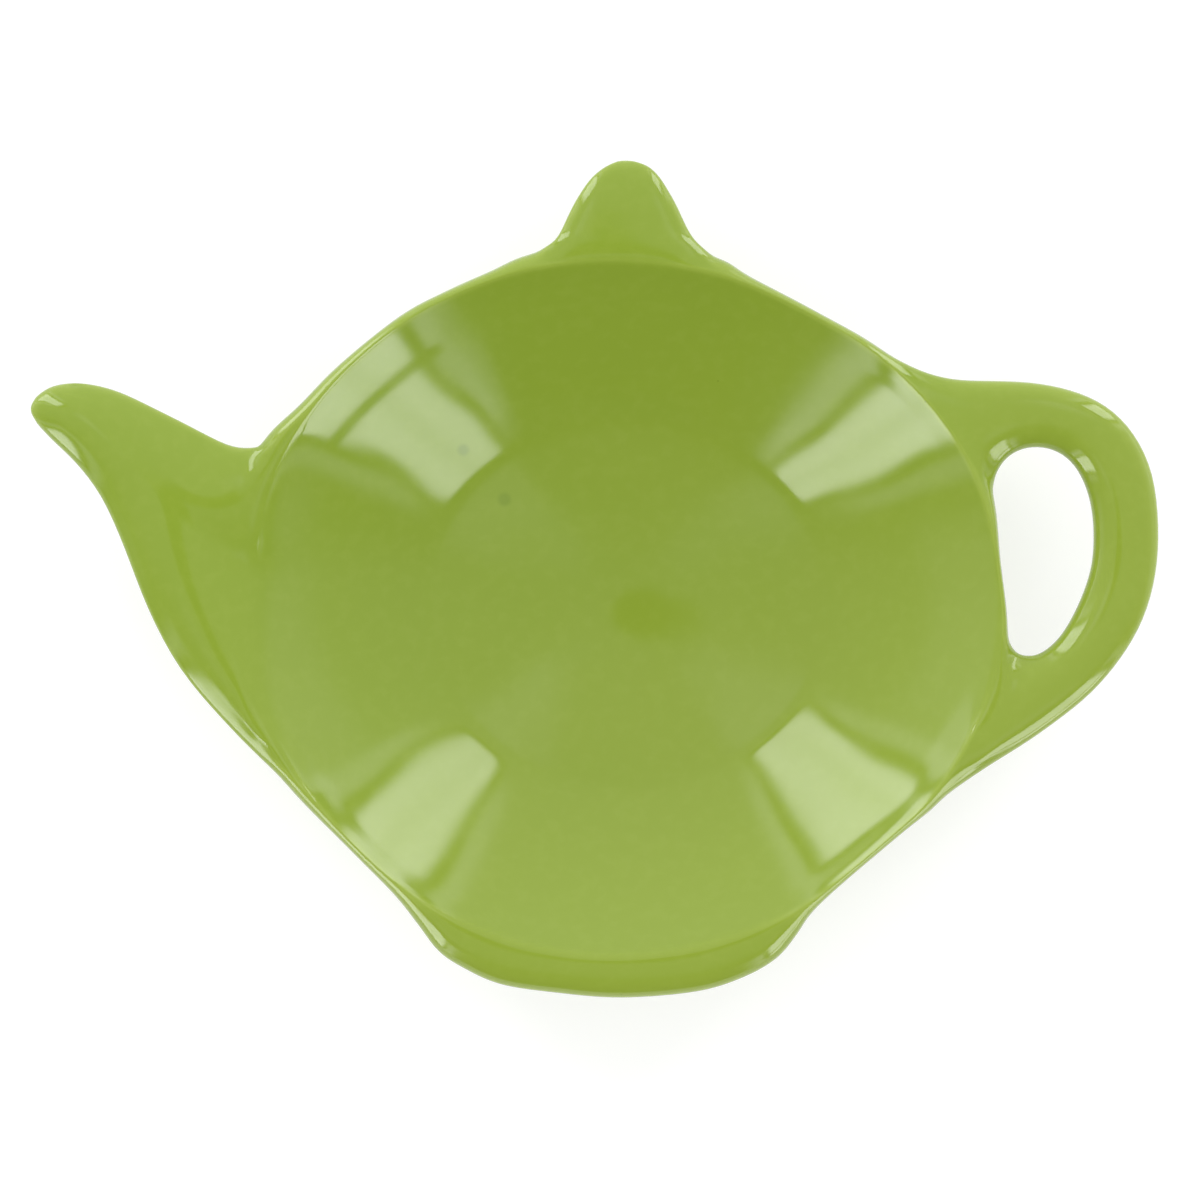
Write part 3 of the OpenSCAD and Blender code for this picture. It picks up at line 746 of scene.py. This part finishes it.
# Foot ring of bare clay, turned, with a thin wiped margin on both sides that reaches a
# little way under the glaze
foot_in = FOOT_R - FOOT_W
clay_top, clay_low = FOOT_H + 0.02, FOOT_H - 0.06
foot = lathe("foot_ring_turned", [
    (foot_in - 0.55, clay_top), (FOOT_R + 0.55, clay_top), (FOOT_R + 0.55, clay_low),
    (FOOT_R + 0.2, clay_low), (FOOT_R + 0.02, clay_low - 0.06), (FOOT_R, clay_low - 0.25),
    (FOOT_R, 0.55), (FOOT_R - 0.05, 0.3), (FOOT_R - 0.2, 0.1), (FOOT_R - 0.45, 0.0),
    (FOOT_R - 0.9, 0.0), (foot_in + 0.9, 0.0), (foot_in + 0.45, 0.0), (foot_in + 0.2, 0.1),
    (foot_in + 0.05, 0.3), (foot_in, 0.55), (foot_in, clay_low - 0.25),
    (foot_in - 0.02, clay_low - 0.06), (foot_in - 0.2, clay_low), (foot_in - 0.55, clay_low),
])

# Glaze inside the foot ring, thickest at its rolled edge
pool_r = foot_in - GLAZE_WIPE
POOL_MIDDLE_R = 8
pool = lathe("base_glaze_pool", [
    (POOL_MIDDLE_R, clay_top), (pool_r - 0.4, clay_top), (pool_r - 0.05, FOOT_H - 0.02),
    (pool_r, FOOT_H - 0.1), (pool_r - 0.03, FOOT_H - 0.2), (pool_r - 0.15, UNDER_GLAZE_H + 0.03),
    (pool_r - 0.4, UNDER_GLAZE_H), (pool_r - 1.2, UNDER_GLAZE_H + 0.02),
    (POOL_MIDDLE_R, UNDER_GLAZE_H + 0.03),
], closed_ends=True)
mark_thin_glaze(pool.data)

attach(glazed, "root")
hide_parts("dish", "spout", "lid_knob", "handle", "glaze_coat")
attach(foot, "root")
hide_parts("foot_ring")
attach(pool, "root")
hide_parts("base_glaze")

# Materials


def linear(colour):
    """A colour in sRGB hex as linear red, green, blue and alpha."""
    channels = [int(colour[k:k + 2], 16) / 255 for k in (1, 3, 5)]
    return (*[c / 12.92 if c <= 0.04045 else ((c + 0.055) / 1.055) ** 2.4 for c in channels], 1)


def add(tree, kind, settings=None, *values, **named):
    """Adds a node. settings are its properties. values fill its inputs in order, and the
    named ones go by name. A node given as a value stands for its first output."""
    node = tree.nodes.new(kind)
    for name, value in (settings or {}).items():
        setattr(node, name, value)
    inputs = [socket for socket in node.inputs if socket.enabled]
    by_name = {socket.name.replace(" ", "_"): socket for socket in inputs}
    for socket, value in [*zip(inputs, values), *((by_name[name], value) for name, value in named.items())]:
        if isinstance(value, bpy.types.Node):
            value = next(output for output in value.outputs if output.enabled)
        if isinstance(value, bpy.types.NodeSocket):
            tree.links.new(value, socket)
        else:
            socket.default_value = value
    return node


def new_material(name):
    material = bpy.data.materials.new(name)
    material.use_nodes = True
    material.node_tree.nodes.clear()
    return material, material.node_tree


# Settings of nodes that come up often
SOFT = {"interpolation_type": "SMOOTHERSTEP"}
MIX = {"data_type": "RGBA"}
TIMES, MINUS = {"operation": "MULTIPLY"}, {"operation": "SUBTRACT"}

# Two small round patches where the glaze's colour is darker, up and to the left of the middle:
# their place, their radius and how dark they are
GLAZE_SPOTS = [(-17.6, 16.7, 0.95, 0.55), (-13.2, 11.4, 1.1, 0.35)]


def green_stoneware_glaze():
    """Glossy green glaze over pale clay, dipped and fired: an even, saturated colour, a
    little paler where it draws thin over an edge and deeper where it gathers, with faint
    mottling and a few pinholes, under a smooth glassy surface."""
    material, tree = new_material("green_stoneware_glaze")
    place = add(tree, "ShaderNodeTexCoord").outputs["Object"]
    slow = add(tree, "ShaderNodeTexNoise", Vector=place, Scale=1 / (22 * MM), Detail=2)
    fine = add(tree, "ShaderNodeTexNoise", Vector=place, Scale=1 / (1.4 * MM), Detail=3)
    # Yellower to the front and the right, greener to the back and the left
    side = add(tree, "ShaderNodeVectorMath", {"operation": "DOT_PRODUCT"}, place, (0.5, -0.85, 0))
    side = add(tree, "ShaderNodeMath", {"operation": "MULTIPLY_ADD"}, slow, 0.06, side.outputs["Value"])
    tone = add(tree, "ShaderNodeMix", MIX, add(tree, "ShaderNodeMapRange", SOFT, side, -0.012, 0.066),
               linear("#869d33"), linear("#899e35"))
    tone = add(tree, "ShaderNodeMix", MIX, add(tree, "ShaderNodeMapRange", SOFT, fine, 0.4, 0.75, 0, 0.18),
               tone, linear("#93a743"))
    bulge = add(tree, "ShaderNodeAttribute", {"attribute_name": "glaze_thin"}).outputs["Fac"]
    tone = add(tree, "ShaderNodeMix", MIX, add(tree, "ShaderNodeMapRange", SOFT, bulge, 0.1, 1, 0, 0.3),
               tone, linear("#a3b552"))
    tone = add(tree, "ShaderNodeMix", MIX, add(tree, "ShaderNodeMapRange", SOFT, bulge, -0.05, -0.6, 0, 0.5),
               tone, linear("#7c9526"))
    # Pinholes in a quarter of the cells of 5.5 mm
    cells = add(tree, "ShaderNodeTexVoronoi", None, Vector=place, Scale=1 / (5.5 * MM))
    some = add(tree, "ShaderNodeMath", {"operation": "GREATER_THAN"},
               add(tree, "ShaderNodeSeparateColor", None, cells.outputs["Color"]), 0.75)
    hole = add(tree, "ShaderNodeMath", TIMES,
               add(tree, "ShaderNodeMapRange", SOFT, cells, 0.014, 0.03, 1, 0), some)
    tone = add(tree, "ShaderNodeMix", MIX, add(tree, "ShaderNodeMath", TIMES, hole, 0.4),
               tone, linear("#647a1c"))
    for x, y, radius, depth in GLAZE_SPOTS:
        flat = add(tree, "ShaderNodeVectorMath", TIMES, place, (1, 1, 0))
        gap = add(tree, "ShaderNodeVectorMath", {"operation": "DISTANCE"}, flat, (x * MM, y * MM, 0))
        spot = add(tree, "ShaderNodeMapRange", SOFT, gap, 0.25 * radius * MM, radius * MM, depth, 0)
        tone = add(tree, "ShaderNodeMix", MIX, spot, tone, linear("#647f22"))
    ripple = add(tree, "ShaderNodeTexNoise", Vector=place, Scale=1 / (0.9 * MM), Detail=1)
    height = add(tree, "ShaderNodeMath", {"operation": "MULTIPLY_ADD"}, ripple, 0.3,
                 add(tree, "ShaderNodeMath", TIMES, hole, -0.03))
    skin = add(tree, "ShaderNodeBump", Strength=0.15, Distance=0.015 * MM, Height=height)
    patch = add(tree, "ShaderNodeTexNoise", Vector=place, Scale=1 / (7 * MM))
    shader = add(tree, "ShaderNodeBsdfPrincipled", Base_Color=tone, IOR=1.5, Normal=skin,
                 Roughness=add(tree, "ShaderNodeMapRange", SOFT, patch, 0.3, 0.7, 0.08, 0.11))
    add(tree, "ShaderNodeOutputMaterial", Surface=shader)
    return material


def bare_stoneware():
    """Fired stoneware left bare and sponged smooth: pale buff and quite matt, with fine
    turning lines round it, sand-sized specks and a toasted margin beside the glaze."""
    material, tree = new_material("bare_stoneware")
    place = add(tree, "ShaderNodeTexCoord").outputs["Object"]
    flat = add(tree, "ShaderNodeVectorMath", TIMES, place, (1, 1, 0))
    out = add(tree, "ShaderNodeVectorMath", {"operation": "LENGTH"}, flat)
    cloudy = add(tree, "ShaderNodeTexNoise", Vector=place, Scale=1 / (6 * MM), Detail=3)
    tone = add(tree, "ShaderNodeMix", MIX, cloudy, linear("#d9ccb2"), linear("#e6dcc6"))
    sand = add(tree, "ShaderNodeTexNoise", Vector=place, Scale=1 / (0.35 * MM), Detail=2)
    tone = add(tree, "ShaderNodeMix", MIX, add(tree, "ShaderNodeMapRange", SOFT, sand, 0.62, 0.72, 0, 0.5),
               tone, linear("#a58a63"))
    away = add(tree, "ShaderNodeMath", MINUS, out, (FOOT_R - FOOT_W / 2) * MM)
    away = add(tree, "ShaderNodeMath", {"operation": "ABSOLUTE"}, away)
    toasted = add(tree, "ShaderNodeMapRange", SOFT, away,
                  (FOOT_W / 2 - 0.1) * MM, (FOOT_W / 2 + GLAZE_WIPE) * MM, 0, 0.6)
    tone = add(tree, "ShaderNodeMix", MIX, toasted, tone, linear("#b99468"))
    # Turning lines 0.35 mm apart
    lines = add(tree, "ShaderNodeMath", {"operation": "SINE"},
                add(tree, "ShaderNodeMath", TIMES, out, 2 * math.pi / (0.35 * MM)))
    grain = add(tree, "ShaderNodeTexNoise", Vector=place, Scale=1 / (0.2 * MM), Detail=2)
    height = add(tree, "ShaderNodeMath", {"operation": "MULTIPLY_ADD"}, lines, 0.3, grain)
    skin = add(tree, "ShaderNodeBump", Strength=0.4, Distance=0.03 * MM, Height=height)
    shader = add(tree, "ShaderNodeBsdfPrincipled", Base_Color=tone, IOR=1.5, Roughness=0.75, Normal=skin)
    add(tree, "ShaderNodeOutputMaterial", Surface=shader)
    return material


glaze = green_stoneware_glaze()
clay = bare_stoneware()
for piece, material in ((glazed, glaze), (pool, glaze), (foot, clay)):
    piece.data.materials.clear()
    piece.data.materials.append(material)
for node_name, material in (("dish", clay), ("spout", clay), ("lid_knob", clay), ("handle", clay),
                            ("foot_ring", clay), ("glaze_coat", glaze), ("base_glaze", glaze)):
    for material_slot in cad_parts[node_name].material_slots:
        material_slot.material = material

# Studio: a white table in a light tent, four upright strip lights and the dark lens

# The tent's dome starts a little below the top of the table
TABLE_R = 1.3
TENT_R, TENT_BELOW = 1.6, 0.01
TABLE_GLOW = 0.6


def stand_on_stage(name, points, faces, material):
    mesh = bpy.data.meshes.new(name)
    mesh.from_pydata(points, [], faces)
    mesh.materials.append(material)
    piece = bpy.data.objects.new(name, mesh)
    bpy.context.collection.objects.link(piece)
    return piece


def round_points(radius, height, sides):
    return [(radius * math.cos(2 * math.pi * k / sides), radius * math.sin(2 * math.pi * k / sides), height)
            for k in range(sides)]


def seen_directly(tree):
    """1 for rays from the camera, off a gloss or through glass, and 0 for the light."""
    path = add(tree, "ShaderNodeLightPath").outputs
    either = add(tree, "ShaderNodeMath", {"operation": "MAXIMUM"}, path["Is Camera Ray"], path["Is Glossy Ray"])
    return add(tree, "ShaderNodeMath", {"operation": "MAXIMUM"}, either, path["Is Transmission Ray"])


def white_laminate():
    """White laminate, pressed smooth and matt: so bright that it reads as white, with the
    shadow of what stands on it left in."""
    material, tree = new_material("white_laminate")
    paint = add(tree, "ShaderNodeBsdfDiffuse", None, linear("#f0f0f0"))
    shown = add(tree, "ShaderNodeBsdfDiffuse", None, linear("#b9b9b9"))
    glow = add(tree, "ShaderNodeEmission", None, (1, 1, 1, 1), TABLE_GLOW)
    bright = add(tree, "ShaderNodeAddShader", None, shown, glow)
    add(tree, "ShaderNodeOutputMaterial",
        Surface=add(tree, "ShaderNodeMixShader", None, seen_directly(tree), paint, bright))
    return material


stand_on_stage("table_top", round_points(TABLE_R, 0, 96), [tuple(range(96))], white_laminate())

# Glow of the tent, as a share of full white, as the dish sees it: overhead, and what is
# added at the very back and taken away towards the front
TENT_LEVEL, TENT_BACK, TENT_FRONT = 0.585, 0.48, 0.475
# It falls off to the front between these values of Y, and nowhere below TENT_LEAST
TENT_FALL = (-0.5, 0.08)
TENT_LEAST = 0.05
# Patches of the tent: the way to the middle and half the width, then the angles from
# straight up where it starts and ends, the softness of its sides and of its ends, all in
# degrees, and the light that it adds
TENT_PATCHES = [
    # Soft light beside and above the strips
    ("front right sheet", 300.5, 5.5, 42, 98, 4, 20, 0.95),
    ("front left sheet", 232.5, 5.5, 37, 98, 6, 12, 1.40),
    ("high front right", 318, 14, 12, 21, 20, 8, 0.45),
    ("high front left", 222, 13, 12, 21, 20, 8, 0.45),
    ("high back right", 49, 13, 12, 21, 20, 8, 0.60),
    ("high back left", 137, 13, 12, 21, 20, 8, 0.60),
    # Pale walls to the right and the left, and their bright lowest part
    ("right wall", 12, 22, 58, 95, 20, 16, 0.35),
    ("left wall", 176, 24, 58, 95, 20, 16, 0.35),
    ("low right wall", 24, 14, 77, 98, 10, 6, 1.10),
    ("low left wall", 158, 14, 77, 98, 10, 6, 1.10),
    ("right side of the front", 345, 11, 66, 98, 12, 18, 0.40),
    # The dark room in front
    ("dark front", 268, 22, 44, 100, 4, 8, -0.09),
]

# Upright strip lights with two tubes each: the way to each one in degrees from +X, its
# width in degrees as seen from the dish, its lowest and highest point by their angle from
# straight up, and its glow as a share of full white
STRIPS = [
    ("strip_front_right", 315.2, 19, 87, 35, 5.7),
    ("strip_front_left", 220.8, 15, 86, 35, 6.3),
    ("strip_back_right", 49.0, 13.2, 82, 37, 5.7),
    ("strip_back_left", 134.6, 15.5, 84, 35, 5.9),
]
# How far away the strips stand, the share of their glow that reaches the dish past the
# honeycomb on their front, and the share of it that is seen between their tubes
STRIP_AWAY, LAMP_SHARE, BETWEEN_TUBES = 0.8, 0.88, 0.86
# Round a strip, in degrees off its edge: its rounded corners, its soft edge, the end of
# its dark frame, and the rise and the fall of the light that it throws on the cloth
CORNER, STRIP_EDGE, FRAME_END = 4, (-1.2, 1.2), (2.5, 4)
FRINGE_RISE, FRINGE_FALL = (2, 4.5), (5, 10)
# The glow of that light, and how far below the strip's top it starts and is full
FRINGE, FRINGE_TOP = 1.2, (-1, 14)
# A cable that hangs across the front right strip, as a patch, and what it lets pass
CABLE, CABLE_SHARE = (313, 13, 68.5, 72.5, 3, 1.5), 0.05


def tent_cloth():
    """White nylon cloth lit from outside: a smooth glow that fades from back to front. A
    gloss shows on it the strips with their soft corners, their dark frames and the light
    beside them. The lamps themselves light the dish."""
    material, tree = new_material("tent_cloth")
    way = add(tree, "ShaderNodeTexCoord").outputs["Object"]
    way = add(tree, "ShaderNodeVectorMath", {"operation": "NORMALIZE"}, way)
    _, y, z = add(tree, "ShaderNodeSeparateXYZ", None, way).outputs
    glow = add(tree, "ShaderNodeMapRange", SOFT, y, *TENT_FALL, TENT_LEVEL - TENT_FRONT, TENT_LEVEL)
    to_back = add(tree, "ShaderNodeMath", {"operation": "MAXIMUM"}, y, 0)
    glow = add(tree, "ShaderNodeMath", {"operation": "MULTIPLY_ADD"}, to_back, TENT_BACK, glow)
    down = add(tree, "ShaderNodeMath", {"operation": "ARCCOSINE"}, z)
    down = add(tree, "ShaderNodeMath", {"operation": "DEGREES"}, down)

    def off_to_side(middle):
        """Degrees round the dish from a direction, on either side of it."""
        ahead = Vector((math.cos(math.radians(middle)), math.sin(math.radians(middle)), 0))
        along = add(tree, "ShaderNodeVectorMath", {"operation": "DOT_PRODUCT"}, way, ahead)
        across = add(tree, "ShaderNodeVectorMath", {"operation": "DOT_PRODUCT"}, way, (-ahead.y, ahead.x, 0))
        turn = add(tree, "ShaderNodeMath", {"operation": "ARCTAN2"},
                   across.outputs["Value"], along.outputs["Value"])
        turn = add(tree, "ShaderNodeMath", {"operation": "ABSOLUTE"}, turn)
        return add(tree, "ShaderNodeMath", {"operation": "DEGREES"}, turn)

    def patch(middle, half, high, low, soft, end_soft):
        """1 inside a patch of the cloth and 0 outside, with soft sides and ends."""
        turn = off_to_side(middle)
        sideways = add(tree, "ShaderNodeMapRange", SOFT, turn, half - soft / 2, half + soft / 2, 1, 0)
        upper = add(tree, "ShaderNodeMapRange", SOFT, down, high - end_soft / 2, high + end_soft / 2, 0, 1)
        lower = add(tree, "ShaderNodeMapRange", SOFT, down, low - end_soft / 2, low + end_soft / 2, 1, 0)
        upright = add(tree, "ShaderNodeMath", TIMES, upper, lower)
        return add(tree, "ShaderNodeMath", TIMES, sideways, upright)

    for _, *place, light in TENT_PATCHES:
        glow = add(tree, "ShaderNodeMath", {"operation": "MULTIPLY_ADD"}, patch(*place), light, glow)
    shown = glow
    for _, middle, wide, low, high, light in STRIPS:
        # Degrees off the strip's rounded outline, below nought inside it
        turn = off_to_side(middle)
        side = add(tree, "ShaderNodeMath", MINUS, turn, wide / 2 - CORNER)
        side = add(tree, "ShaderNodeMath", {"operation": "MAXIMUM"}, side, 0)
        end = add(tree, "ShaderNodeMath", MINUS, down, (low + high) / 2)
        end = add(tree, "ShaderNodeMath", {"operation": "ABSOLUTE"}, end)
        end = add(tree, "ShaderNodeMath", MINUS, end, (low - high) / 2 - CORNER)
        end = add(tree, "ShaderNodeMath", {"operation": "MAXIMUM"}, end, 0)
        off = add(tree, "ShaderNodeCombineXYZ", None, side, end)
        off = add(tree, "ShaderNodeVectorMath", {"operation": "LENGTH"}, off)
        off = add(tree, "ShaderNodeMath", MINUS, off.outputs["Value"], CORNER)
        # Between its two tubes a strip is a little dimmer
        tubes = add(tree, "ShaderNodeMapRange", SOFT, turn, 0, wide / 4, BETWEEN_TUBES * light, light)
        strip = add(tree, "ShaderNodeMapRange", SOFT, off, *STRIP_EDGE, 1, 0)
        strip = add(tree, "ShaderNodeMath", TIMES, tubes, strip)
        fringe = add(tree, "ShaderNodeMapRange", SOFT, down, *(high + start for start in FRINGE_TOP), 0, FRINGE)
        for limits in ((*FRINGE_RISE, 0, 1), (*FRINGE_FALL, 1, 0)):
            part = add(tree, "ShaderNodeMapRange", SOFT, off, *limits)
            fringe = add(tree, "ShaderNodeMath", TIMES, fringe, part)
        frame_end = add(tree, "ShaderNodeMapRange", SOFT, off, *FRAME_END, 0, 1)
        shown = add(tree, "ShaderNodeMath", TIMES, shown, frame_end)
        light_here = add(tree, "ShaderNodeMath", {"operation": "ADD"}, strip, fringe)
        shown = add(tree, "ShaderNodeMath", {"operation": "ADD"}, shown, light_here)
    cable = add(tree, "ShaderNodeMapRange", None, patch(*CABLE), 0, 1, 1, CABLE_SHARE)
    shown = add(tree, "ShaderNodeMath", TIMES, shown, cable)
    # The lamps give the strips' light, so the cloth shows them to a gloss only
    in_gloss = add(tree, "ShaderNodeLightPath").outputs["Is Glossy Ray"]
    shown = add(tree, "ShaderNodeMix", None, in_gloss, glow, shown)
    shown = add(tree, "ShaderNodeMath", {"operation": "MAXIMUM"}, shown, TENT_LEAST)
    add(tree, "ShaderNodeOutputMaterial", Surface=add(tree, "ShaderNodeEmission", None, (1, 1, 1, 1), shown))
    material.cycles.emission_sampling = "NONE"
    return material


def light_tent():
    """The dome of the tent over the table, which the camera looks through."""
    rows, around = 24, 96
    points, faces = [], []
    for row in range(rows):
        up = math.pi / 2 * row / rows
        points += round_points(TENT_R * math.cos(up), TENT_R * math.sin(up) - TENT_BELOW, around)
        for k in range(around):
            a, b = row * around + k, row * around + (k + 1) % around
            faces.append((a, b, b + around, a + around) if row < rows - 1 else (a, b, rows * around))
    points.append((0, 0, TENT_R))
    stand_on_stage("light_tent", points, faces, tent_cloth()).visible_camera = False


light_tent()

for name, way, wide, low, high, glow in STRIPS:
    bottom, top = (STRIP_AWAY / math.tan(math.radians(a)) for a in (low, high))
    width = 2 * STRIP_AWAY * math.tan(math.radians(wide / 2))
    lamp = bpy.data.lights.new(name, "AREA")
    lamp.shape = "RECTANGLE"
    lamp.size, lamp.size_y = width, top - bottom
    lamp.energy = LAMP_SHARE * glow * math.pi * width * (top - bottom)
    strip = bpy.data.objects.new(name, lamp)
    out = Vector((math.cos(math.radians(way)), math.sin(math.radians(way)), 0))
    strip.matrix_world = (Matrix.Translation(out * STRIP_AWAY + Vector((0, 0, (bottom + top) / 2)))
                          @ (-out).to_track_quat("-Z", "Y").to_matrix().to_4x4())
    strip.visible_camera = strip.visible_glossy = False
    bpy.context.collection.objects.link(strip)

# The lens and what holds it, which the glaze shows as a soft dark spot: its radius in
# metres, the soft share of that, and its place and height over the camera in millimetres
LENS_R, LENS_SOFT = 0.078, 0.4
LENS_X, LENS_Y, LENS_OVER = -39, 24, 10


def black_felt():
    """Black wool felt, pressed: dull and almost black, and out of focus at its rim."""
    material, tree = new_material("black_felt")
    place = add(tree, "ShaderNodeTexCoord").outputs["Object"]
    out = add(tree, "ShaderNodeVectorMath", {"operation": "LENGTH"},
              add(tree, "ShaderNodeVectorMath", TIMES, place, (1, 1, 0)))
    rim = add(tree, "ShaderNodeMapRange", SOFT, out, (1 - LENS_SOFT) * LENS_R, LENS_R, 0, 1)
    felt = add(tree, "ShaderNodeBsdfDiffuse", None, linear("#1c1c1c"))
    add(tree, "ShaderNodeOutputMaterial",
        Surface=add(tree, "ShaderNodeMixShader", None, rim, felt, add(tree, "ShaderNodeBsdfTransparent")))
    return material


hood = stand_on_stage("lens_hood", round_points(LENS_R, 0, 48), [tuple(range(48))], black_felt())
hood.location = (LENS_X * MM, LENS_Y * MM, (CAMERA_HEIGHT + LENS_OVER) * MM)
hood.visible_camera = False

world = bpy.data.worlds.new("studio")
world.use_nodes = True
world.node_tree.nodes.clear()
tree = world.node_tree
strength = add(tree, "ShaderNodeMapRange", None, seen_directly(tree), 0, 1, TENT_LEVEL, 1.0)
add(tree, "ShaderNodeOutputWorld", Surface=add(tree, "ShaderNodeBackground", None, (1, 1, 1, 1), strength))
bpy.context.scene.world = world

bpy.context.scene.view_settings.view_transform = "Standard"
